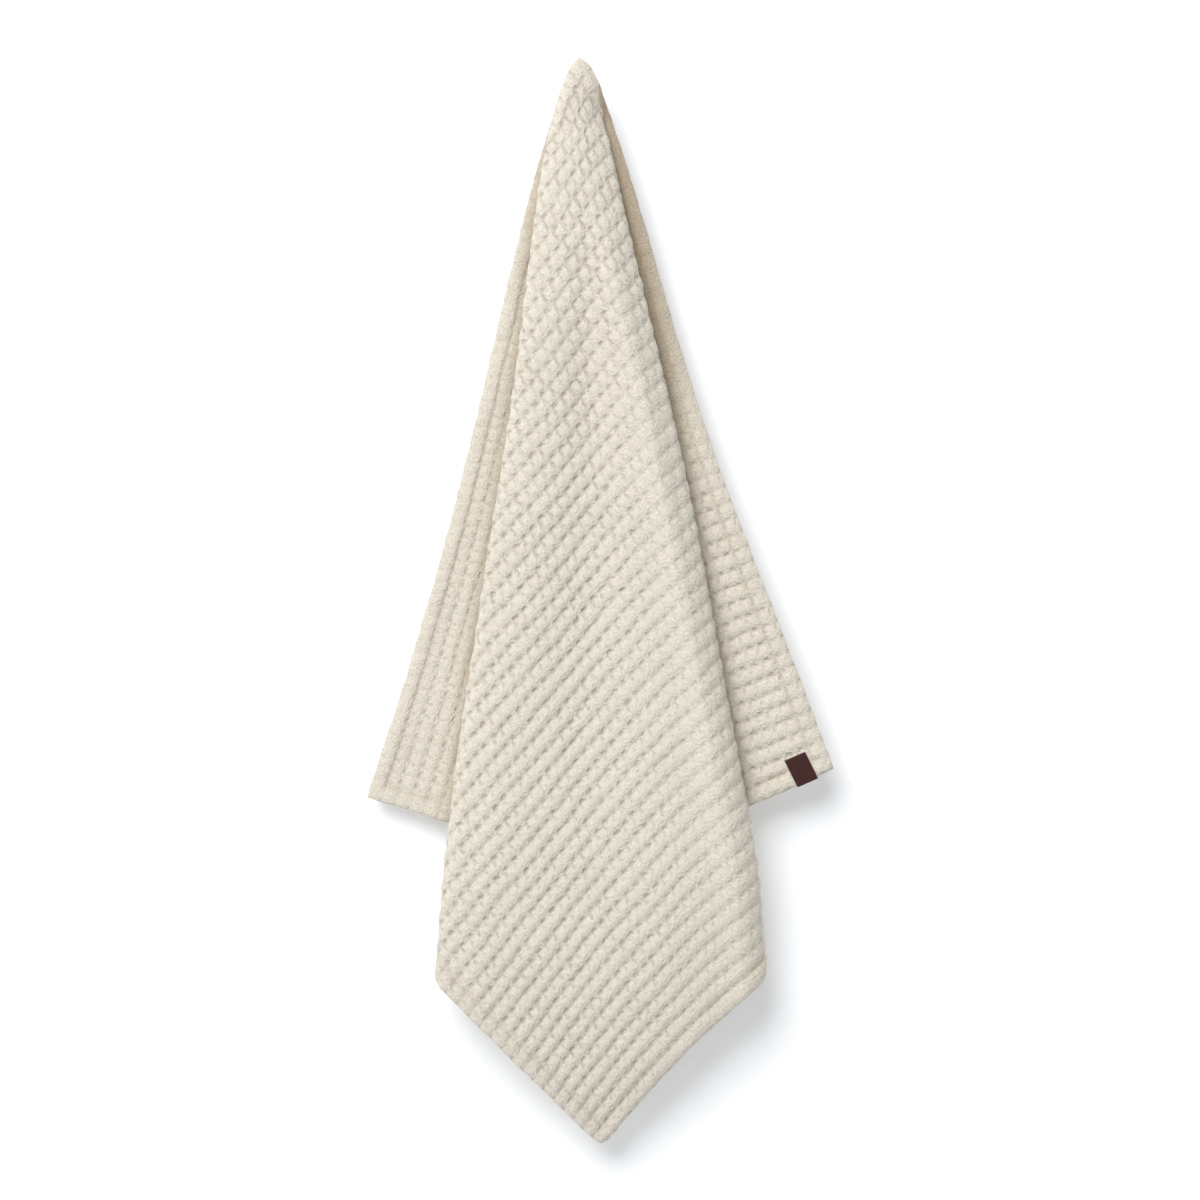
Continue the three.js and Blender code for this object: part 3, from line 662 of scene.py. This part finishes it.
def cotton_waffle(colour, hollow_shade_colour):
    """Undyed cotton, loosely spun and woven in a waffle: matte, with a faint fuzz that lifts the
    grazing edges. Shade is painted into its colour down in the hollows, darker and warmer. Where
    shade is painted on it beside the folds and along the stitch lines, its colour is multiplied by
    VALLEY_TINT at most."""
    material, tree, output = new_material("undyed cotton waffle weave")
    soft = {"interpolation_type": "SMOOTHSTEP"}
    cell = add(tree, "Attribute", {"attribute_name": "cell"}).outputs["Vector"]
    shown = add(tree, "Attribute", {"attribute_name": "showing"}).outputs["Vector"]
    shown = add(tree, "SeparateXYZ", Vector=shown)
    strong, drawn, sheltered = shown.outputs["X"], shown.outputs["Y"], shown.outputs["Z"]

    # Ragged cells: the lattice is pushed about by up to 0.15 of a cell along a and 0.11 along b.
    rough = add(tree, "TexNoise", None, Vector=cell, Scale=2.2, Detail=1.5).outputs["Color"]
    ragged = add(tree, "VectorMath", {"operation": "SUBTRACT"}, _0=rough, _1=(0.5, 0.5, 0.5))
    moved = add(tree, "VectorMath", {"operation": "MULTIPLY_ADD"}, _0=ragged, _1=(0.3, 0.22, 0), _2=cell)
    from_corner = add(tree, "VectorMath", {"operation": "ADD"}, _0=moved, _1=(CELL_LEFT, CELL_ABOVE, 0))
    whole = add(tree, "VectorMath", {"operation": "FLOOR"}, _0=from_corner)
    place = add(tree, "VectorMath", {"operation": "SUBTRACT"}, _0=moved, _1=whole)
    place = add(tree, "SeparateXYZ", Vector=place)
    x, y = place.outputs["X"], place.outputs["Y"]
    own = add(tree, "TexWhiteNoise", {"noise_dimensions": "3D"}, Vector=whole)
    own_colour = add(tree, "SeparateColor", Color=own.outputs["Color"])

    # The hollow: |y - HOLLOW_ARCH x^2 + HOLLOW_RISE| across it and |x + HOLLOW_SHIFT| along it.
    arch = add(tree, "Math", {"operation": "MULTIPLY"}, _0=x, _1=x)
    across = add(tree, "Math", {"operation": "MULTIPLY_ADD"}, _0=arch, _1=-HOLLOW_ARCH, _2=y)
    across = add(tree, "Math", {"operation": "ADD"}, _0=across, _1=HOLLOW_RISE)
    across = add(tree, "Math", {"operation": "ABSOLUTE"}, _0=across)
    across = add(tree, "MapRange", soft, Value=across, _1=0.0, _2=0.21, _3=1.0, _4=0.0)
    along = add(tree, "Math", {"operation": "ADD"}, _0=x, _1=HOLLOW_SHIFT)
    along = add(tree, "Math", {"operation": "ABSOLUTE"}, _0=along)
    along = add(tree, "MapRange", soft, Value=along, _1=0.1, _2=0.42, _3=1.0, _4=0.0)
    hollow = add(tree, "Math", {"operation": "MULTIPLY"}, _0=across, _1=along)
    depth = add(tree, "MapRange", None, Value=own.outputs["Value"], _3=0.6, _4=1.15)
    hollow = add(tree, "Math", {"operation": "MULTIPLY"}, _0=hollow, _1=depth)

    # The tail: |x - TAIL_START - TAIL_LEAN y| across it, from y = 0 to 0.3 or more, and longer and
    # stronger where the cells are drawn out.
    lean = add(tree, "Math", {"operation": "MULTIPLY_ADD"}, _0=y, _1=-TAIL_LEAN, _2=x)
    beside = add(tree, "Math", {"operation": "SUBTRACT"}, _0=lean, _1=TAIL_START)
    beside = add(tree, "Math", {"operation": "ABSOLUTE"}, _0=beside)
    beside = add(tree, "MapRange", soft, Value=beside, _1=0.0, _2=0.22, _3=1.0, _4=0.0)
    start = add(tree, "MapRange", soft, Value=y, _1=-0.05, _2=0.1, _3=0.0, _4=1.0)
    longer = add(tree, "Math", {"operation": "MULTIPLY_ADD"}, _0=drawn, _1=-0.35, _2=y)
    stop = add(tree, "MapRange", soft, Value=longer, _1=0.3, _2=0.62, _3=1.0, _4=0.0)
    length = add(tree, "Math", {"operation": "MULTIPLY"}, _0=start, _1=stop)
    tail = add(tree, "Math", {"operation": "MULTIPLY"}, _0=beside, _1=length)
    uneven = add(tree, "MapRange", None, Value=own_colour.outputs["Green"], _3=0.2, _4=0.75)
    tail = add(tree, "Math", {"operation": "MULTIPLY"}, _0=tail, _1=uneven)
    stronger = add(tree, "MapRange", None, Value=drawn, _3=1.0, _4=1.6)
    tail = add(tree, "Math", {"operation": "MULTIPLY"}, _0=tail, _1=stronger)

    # The groove that joins the hollows of a row, here and there: |y| across it.
    patchy = add(tree, "TexNoise", None, Vector=cell, Scale=0.8, Detail=2.0).outputs["Fac"]
    here = add(tree, "MapRange", soft, Value=patchy, _1=0.4, _2=0.7, _3=0.0, _4=0.6)
    groove = add(tree, "Math", {"operation": "ABSOLUTE"}, _0=y)
    groove = add(tree, "MapRange", soft, Value=groove, _1=0.0, _2=0.18, _3=1.0, _4=0.0)
    groove = add(tree, "Math", {"operation": "MULTIPLY"}, _0=groove, _1=here)
    pit = add(tree, "Math", {"operation": "MAXIMUM"}, _0=hollow, _1=tail)
    pit = add(tree, "Math", {"operation": "MAXIMUM"}, _0=pit, _1=groove)
    pit = add(tree, "Math", {"operation": "MULTIPLY"}, _0=pit, _1=strong)

    # The pillow's mound: a smooth step down in |s| and in |t|, with s and t from -1 to 1 over it.
    over = add(tree, "VectorMath", {"operation": "ADD"}, _0=moved, _1=(KNOB_SHIFT, 0, 0))
    over = add(tree, "VectorMath", {"operation": "FRACTION"}, _0=over)
    over = add(tree, "VectorMath", {"operation": "MULTIPLY_ADD"}, _0=over, _1=(2, 2, 0), _2=(-1, -1, 0))
    over = add(tree, "VectorMath", {"operation": "ABSOLUTE"}, _0=over)
    over = add(tree, "SeparateXYZ", Vector=over)
    flat = (KNOBS_JOINED, KNOBS_JOINED, KNOBS_JOINED, 1)
    knob = add(tree, "MapRange", soft, Value=over.outputs["X"], _1=0.0, _2=1.0, _3=1.0, _4=0.0)
    joined = add(tree, "MapRange", soft, Value=y, _1=0.3, _2=0.6, _3=0.0, _4=0.9)
    apart = add(tree, "MapRange", None, Value=drawn, _3=1.0, _4=0.0)
    joined = add(tree, "Math", {"operation": "MULTIPLY"}, _0=joined, _1=apart)
    knob = add(tree, "MixRGB", None, Fac=joined, Color1=knob, Color2=flat)
    row = add(tree, "MapRange", soft, Value=over.outputs["Y"], _1=0.0, _2=1.0, _3=1.0, _4=0.0)
    flatter = add(tree, "Math", {"operation": "MULTIPLY"}, _0=drawn, _1=0.5)
    row = add(tree, "MixRGB", None, Color1=row, Color2=flat, Fac=flatter)
    mound = add(tree, "Math", {"operation": "MULTIPLY"}, _0=knob, _1=row)
    mound = add(tree, "Math", {"operation": "MULTIPLY"}, _0=mound, _1=strong)

    # Yarn: loosely twisted, drawn coarser than the real one so that it shows: 2.5 mm by 2.1 mm.
    finer = add(tree, "VectorMath", {"operation": "MULTIPLY"}, _0=cell, _1=(4.6, 7.0, 1.0))
    yarn = add(tree, "TexNoise", None, Scale=1.0, Detail=2.5, Roughness=0.55, Vector=finer).outputs["Fac"]
    mottle = add(tree, "TexNoise", None, Vector=cell, Scale=0.35, Detail=2.0).outputs["Fac"]
    pale = add(tree, "MapRange", None, Value=mottle, _3=0.94, _4=1.04)
    pale = add(tree, "MixRGB", {"blend_type": "MULTIPLY"}, Fac=1.0, Color1=(*colour, 1), Color2=pale)
    worn = add(tree, "MapRange", None, Value=yarn, _1=0.25, _2=0.75, _3=0.8, _4=1.12)
    worn = add(tree, "MixRGB", {"blend_type": "MULTIPLY"}, Fac=1.0, Color1=pale, Color2=worn)
    # Painted shade: the pits (hollows, tails and grooves) are mixed towards the hollow shade colour, and
    # the shade painted beside the folds and stitch lines multiplies the colour by up to VALLEY_TINT.
    down = add(tree, "Math", {"operation": "MULTIPLY"}, _0=pit, _1=HOLLOW_SHADE)
    shaded_colour = add(tree, "MixRGB", {"blend_type": "MIX"}, Color1=worn, Color2=(*hollow_shade_colour, 1), Fac=down)
    shaded_colour = add(tree, "MixRGB", {"blend_type": "MULTIPLY"}, Fac=sheltered, Color1=shaded_colour,
                 Color2=(*VALLEY_TINT, 1))

    height = add(tree, "Math", {"operation": "MULTIPLY"}, _0=yarn, _1=YARN_BUMP)
    height = add(tree, "Math", {"operation": "MULTIPLY_ADD"}, _0=pit, _1=-PIT_BUMP, _2=height)
    height = add(tree, "Math", {"operation": "MULTIPLY_ADD"}, _0=mound, _1=MOUND_BUMP, _2=height)
    bump = add(tree, "Bump", None, Strength=1.0, Distance=MM, Height=height)
    shader = add(tree, "BsdfPrincipled", None, Base_Color=shaded_colour, Roughness=0.92, IOR=1.5,
                 Specular_IOR_Level=0.2, Sheen_Weight=0.15, Sheen_Roughness=0.5,
                 Sheen_Tint=(1, 0.98, 0.94, 1), Normal=bump)
    tree.links.new(shader.outputs["BSDF"], output.inputs["Surface"])
    return material


def tanned_leather(colour):
    """Vegetable-tanned leather, dyed and waxed: a dark brown with blotches 6 mm across, a low sheen
    and a fine pebbled grain, 0.7 mm across."""
    material, tree, output = new_material("vegetable-tanned leather")
    place = add(tree, "TexCoord").outputs["Object"]
    grain = add(tree, "TexVoronoi", {"feature": "DISTANCE_TO_EDGE"}, Vector=place, Scale=1400.0)
    blotch = add(tree, "TexNoise", None, Vector=place, Scale=160.0, Detail=3.0)
    shade = add(tree, "MapRange", None, Value=blotch.outputs["Fac"], _3=0.8, _4=1.25)
    dyed = add(tree, "MixRGB", {"blend_type": "MULTIPLY"}, Fac=1.0, Color1=(*colour, 1), Color2=shade)
    polish = add(tree, "MapRange", None, Value=blotch.outputs["Fac"], _3=0.5, _4=0.66)
    bump = add(tree, "Bump", None, Strength=0.4, Distance=0.15 * MM, Height=grain.outputs["Distance"])
    shader = add(tree, "BsdfPrincipled", None, Base_Color=dyed, Roughness=polish, IOR=1.45,
                 Specular_IOR_Level=0.3, Normal=bump)
    tree.links.new(shader.outputs["BSDF"], output.inputs["Surface"])
    return material


def studio_paper(name, colour, glow, see_through):
    """Matte background paper with a faint mottle, 25 mm across, which may glow a little. The
    backdrop lets the eye through from behind, so that the towel can be looked at from there. A lamp
    behind it lights only what the eye sees directly, because the rear lamp's light, thrown back by
    the towel, would wash out the towel's shadow on the front."""
    material, tree, output = new_material(name)
    place = add(tree, "TexCoord").outputs["Object"]
    mottle = add(tree, "TexNoise", None, Vector=place, Scale=40.0, Detail=2.0)
    tone = add(tree, "MapRange", None, Value=mottle.outputs["Fac"], _3=0.985, _4=1.0)
    paper = add(tree, "MixRGB", {"blend_type": "MULTIPLY"}, Fac=1.0, Color1=(*colour, 1), Color2=tone)
    shader = add(tree, "BsdfPrincipled", None, Base_Color=paper, Roughness=0.95, IOR=1.5,
                 Emission_Color=(1, 1, 1, 1), Emission_Strength=glow).outputs["BSDF"]
    if see_through:
        behind = add(tree, "NewGeometry").outputs["Backfacing"]
        path = add(tree, "LightPath")
        first = add(tree, "Math", {"operation": "LESS_THAN"}, _0=path.outputs["Diffuse Depth"], _1=0.5)
        shadow = add(tree, "Math", {"operation": "MULTIPLY"}, _0=path.outputs["Is Shadow Ray"], _1=first)
        either = add(tree, "Math", {"operation": "MAXIMUM"}, _0=behind, _1=shadow)
        clear = add(tree, "BsdfTransparent").outputs["BSDF"]
        shader = add(tree, "MixShader", None, Fac=either, _1=shader, _2=clear).outputs["Shader"]
    tree.links.new(shader, output.inputs["Surface"])
    return material


# What a user may change.


class TowelClothSettings(bpy.types.PropertyGroup):
    cloth_colour: FloatVectorProperty(
        name="Cloth colour", description="Colour of the cotton on its raised pillows", subtype="COLOR",
        size=3, min=0, max=1, default=linear("#e6dfd1"),
    )
    # Painted shade: the colour that the hollows are darkened towards, standing in for the shade down in
    # them, not a colour of the cotton.
    hollow_shade_colour: FloatVectorProperty(
        name="Hollow colour", description="Colour of the cotton down in the hollows", subtype="COLOR",
        size=3, min=0, max=1, default=linear("#a6947f"),
    )
    seed: IntProperty(name="Seed", description="Seed of the weave's unevenness", default=7, min=0)


class TowelLabelSettings(bpy.types.PropertyGroup):
    width: FloatProperty(
        name="Width", description="Label's width along the hem", unit="LENGTH",
        default=0.02, min=0.01, max=0.04,
    )
    height: FloatProperty(
        name="Height", description="Label's height up from the hem's edge", unit="LENGTH",
        default=0.026, min=0.01, max=0.04,
    )
    thickness: FloatProperty(
        name="Thickness", description="Thickness of the leather", unit="LENGTH",
        default=0.001, min=0.0005, max=0.002,
    )
    colour: FloatVectorProperty(
        name="Leather colour", description="Colour of the dyed leather", subtype="COLOR",
        size=3, min=0, max=1, default=linear("#3c1c1a"),
    )


class TowelStageSettings(bpy.types.PropertyGroup):
    backdrop_gap: FloatProperty(
        name="Backdrop gap", description="How far the backdrop stands behind the hung corner",
        unit="LENGTH", default=0.045, min=0.035,
    )
    floor_drop: FloatProperty(
        name="Floor drop", description="How far the floor lies below the hung corner",
        unit="LENGTH", default=1.3, min=1.1,
    )
    floor_colour: FloatVectorProperty(
        name="Floor colour", description="Colour of the floor", subtype="COLOR",
        size=3, min=0, max=1, default=linear("#c9c9c9"),
    )
    paper_colour: FloatVectorProperty(
        name="Backdrop colour", description="Colour of the backdrop", subtype="COLOR",
        size=3, min=0, max=1, default=linear("#f6f8fb"),
    )
    key_power: FloatProperty(
        name="Key light", description="Power of the large soft light from the upper left",
        unit="POWER", default=436, min=0,
    )
    sky: FloatProperty(
        name="Sky", description="Strength of the even light from all round", default=0.27, min=0,
    )


# The stage, in metres, apart from the lens and sensor in millimetres and the reach of floor and
# backdrop, which is in millimetres too. Lamps are placed from the middle of the view.
VIEW_CENTRE = (0.0197, 0, -0.5222)
VIEW_WIDTH = 1.152
LENS = 150
SENSOR = 36
CLIP_END = 100
STAGE_REACH = 4000.0
BACKDROP_GLOW = 0.19
KEY_PLACE = (-2.2, -4.87, 4.1)
KEY_SIZE = 5.2
REAR_PLACE = (2.0, 5.2, 2.2)
REAR_SIZE = 3.4
REAR_SHARE = 0.45


# Operators.


class TOWEL_OT_cloth(bpy.types.Operator):
    """Makes the waffle cloth, hung and folded, with its four hems"""

    bl_idname = "towel.cloth"
    bl_label = "Waffle cloth"

    def execute(self, context):
        settings = context.scene.towel_cloth
        down_left, down_right = knots(LEFT_SIDE, CELLS_U, KNOTS_U), knots(RIGHT_SIDE, CELLS_V, KNOTS_V)
        u, v = np.meshgrid(down_left, down_right, indexing="ij")
        a, b = u * CELLS_U / LEFT_SIDE, v * CELLS_V / RIGHT_SIDE
        edge = np.minimum(np.minimum(u, LEFT_SIDE - u), np.minimum(v, RIGHT_SIDE - v))
        free = smooth((edge - FREE_FROM) / FREE_RUN)
        seed = settings.seed
        shift_u = STRAY_U * drift(seed + 11, a, b, 1) + GROUP_U * drift(seed + 12, a, b, GROUP_CELLS_U)
        shift_v = STRAY_V * drift(seed + 13, a, b, 1) + GROUP_V * drift(seed + 14, a, b, GROUP_CELLS_V)
        scallop = SCALLOP * (1 + drift(seed + 15, a, b, 0.5)) * (1 - free) * (1 - label_share(u, v))
        placed_u, placed_v = u + shift_u * free + scallop, v + shift_v * free + scallop
        middle, normal = hung(placed_u, placed_v), front_normal(placed_u, placed_v)
        looks = [showing(u, v, outer) for outer in (True, False)]
        front, back = (
            face_height(u, v, a, b, strong, drawn, seed + own)[..., None]
            for (strong, drawn, sheltered), own in zip(looks, (20, 30))
        )
        points, quads = closed_sheet(middle + normal * front, middle - normal * back)
        material = cotton_waffle(settings.cloth_colour, settings.hollow_shade_colour)
        towel = make_piece("waffle_cloth", points, quads, material)
        sides = [np.stack([a, b, np.full_like(a, side)], -1).reshape(-1, 3) for side in (0, BACK_CELLS)]
        add_vectors(towel.data, "cell", np.concatenate(sides))
        shown = [np.stack(face, -1).reshape(-1, 3) for face in looks]
        add_vectors(towel.data, "showing", np.concatenate(shown))
        flat_u, flat_v = u / LEFT_SIDE, v / RIGHT_SIDE
        wide, high = 0.5 - 2 * BAKE_BORDER, 1 - 2 * BAKE_BORDER
        halves = [
            np.stack([start + wide * flat_u, BAKE_BORDER + high * flat_v], -1).reshape(-1, 2)
            for start in (BAKE_BORDER, 0.5 + BAKE_BORDER)
        ]
        add_bake_map(towel.data, np.concatenate(halves))
        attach(towel, "root")
        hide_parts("towel")
        return {"FINISHED"}


class TOWEL_OT_label(bpy.types.Operator):
    """Makes the leather label, folded round the right lower hem"""

    bl_idname = "towel.label"
    bl_label = "Leather label"

    def execute(self, context):
        settings = context.scene.towel_label
        width, height = settings.width / MM, settings.height / MM
        thickness = settings.thickness / MM
        faces = np.linspace(height, 0, 25)
        turn = np.linspace(0, math.pi, 19)[1:-1]
        up = np.concatenate([faces, 0 * turn, faces[::-1]])
        sine = np.concatenate([0 * faces, np.sin(turn), 0 * faces])
        cosine = np.concatenate([0 * faces + 1, np.cos(turn), 0 * faces - 1])
        ends = np.array(LABEL_ENDS)
        stations = np.concatenate([ends, np.linspace(1, width - 1, 19), width - ends[::-1]])
        along, ups = np.meshgrid(stations, up, indexing="ij")
        steps = np.abs(np.diff(up)) + 0.5 * (np.diff(up) == 0)
        path = np.concatenate([[0], np.cumsum(steps)])
        to_end = np.minimum(path, path[-1] - path)[None, :]
        to_side = np.minimum(along, width - along)
        rim = np.clip(np.minimum(to_side, to_end) / LABEL_ROUND, 0, 1)
        swell = np.sqrt(1 - (1 - rim) ** 2) * (1 - LABEL_THIN) + LABEL_THIN
        u = LABEL_FROM_CORNER + along + LABEL_SKEW * ups
        v = RIGHT_SIDE - ups
        middle, normal = hung(u, v), front_normal(u, v)
        outward = middle - hung(u, v - 0.5)
        outward /= np.linalg.norm(outward, axis=-1, keepdims=True)
        rest = HEM_HALF + LABEL_GAP + thickness / 2
        sides = []
        for sign in (1, -1):
            off = sign * swell * thickness / 2
            out = (rest + off) * cosine
            drop = (LABEL_OFF_EDGE + thickness / 2 + off) * sine
            sides.append(middle + normal * out[..., None] + outward * drop[..., None])
        points, quads = closed_sheet(sides[0], sides[1])
        label = make_piece("leather_label", points, quads, tanned_leather(settings.colour))
        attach(label, "root")
        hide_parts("label")
        return {"FINISHED"}


class TOWEL_OT_stage(bpy.types.Operator):
    """Makes the floor, the backdrop, the lights and the camera"""

    bl_idname = "towel.stage"
    bl_label = "Stage"

    def execute(self, context):
        settings = context.scene.towel_stage
        scene = context.scene
        middle = Vector(VIEW_CENTRE)
        drop, gap = settings.floor_drop / MM, settings.backdrop_gap / MM
        far = STAGE_REACH
        floor = np.array([(-far, -far, -drop), (far, -far, -drop), (far, far, -drop), (-far, far, -drop)])
        wall = np.array([(-far, gap, -drop), (far, gap, -drop), (far, gap, far), (-far, gap, far)])
        paper = studio_paper("matte studio floor", settings.floor_colour, 0, False)
        sheet = studio_paper("matte studio backdrop", settings.paper_colour, BACKDROP_GLOW, True)
        one = np.array([[0, 1, 2, 3]])
        make_piece("floor", floor, one, paper)
        make_piece("backdrop", wall, one, sheet)

        def lamp(name, power, size, place):
            light = bpy.data.lights.new(name, "AREA")
            light.shape, light.size, light.energy = "DISK", size, power
            holder = bpy.data.objects.new(name, light)
            holder.location = middle + Vector(place)
            holder.rotation_euler = (-Vector(place)).to_track_quat("-Z", "Y").to_euler()
            holder.visible_camera = False
            scene.collection.objects.link(holder)

        lamp("key light", settings.key_power, KEY_SIZE, KEY_PLACE)
        lamp("rear light", REAR_SHARE * settings.key_power, REAR_SIZE, REAR_PLACE)

        world = bpy.data.worlds.new("even studio sky")
        world.use_nodes = True
        sky = world.node_tree.nodes["Background"]
        sky.inputs["Color"].default_value = (1, 1, 1, 1)
        sky.inputs["Strength"].default_value = settings.sky
        scene.world = world
        scene.view_settings.view_transform = "Standard"

        camera = bpy.data.cameras.new("camera")
        camera.lens, camera.sensor_width, camera.clip_end = LENS, SENSOR, CLIP_END
        holder = bpy.data.objects.new("camera", camera)
        holder.location = middle + Vector((0, -VIEW_WIDTH * LENS / SENSOR, 0))
        holder.rotation_euler = (QUARTER, 0, 0)
        scene.collection.objects.link(holder)
        scene.camera = holder
        return {"FINISHED"}


class VIEW3D_PT_towel(bpy.types.Panel):
    """Lists the towel's pieces and their settings"""

    bl_label = "Waffle bath towel"
    bl_space_type = "VIEW_3D"
    bl_region_type = "UI"
    bl_category = "Towel"

    def draw(self, context):
        for operator, group in PIECES:
            settings = getattr(context.scene, group)
            box = self.layout.box()
            for name in settings.__annotations__:
                box.prop(settings, name)
            box.operator(operator)


PIECES = (("towel.cloth", "towel_cloth"), ("towel.label", "towel_label"), ("towel.stage", "towel_stage"))
GROUPS = {
    "towel_cloth": TowelClothSettings,
    "towel_label": TowelLabelSettings,
    "towel_stage": TowelStageSettings,
}
CLASSES = (*GROUPS.values(), TOWEL_OT_cloth, TOWEL_OT_label, TOWEL_OT_stage, VIEW3D_PT_towel)


def register():
    for cls in CLASSES:
        bpy.utils.register_class(cls)
    for name, group in GROUPS.items():
        setattr(bpy.types.Scene, name, PointerProperty(type=group))


def unregister():
    for name in GROUPS:
        delattr(bpy.types.Scene, name)
    for cls in reversed(CLASSES):
        bpy.utils.unregister_class(cls)


def main():
    """Builds every piece in order."""
    register()
    bpy.ops.towel.cloth()
    bpy.ops.towel.label()
    bpy.ops.towel.stage()


if __name__ == "__main__":
    main()
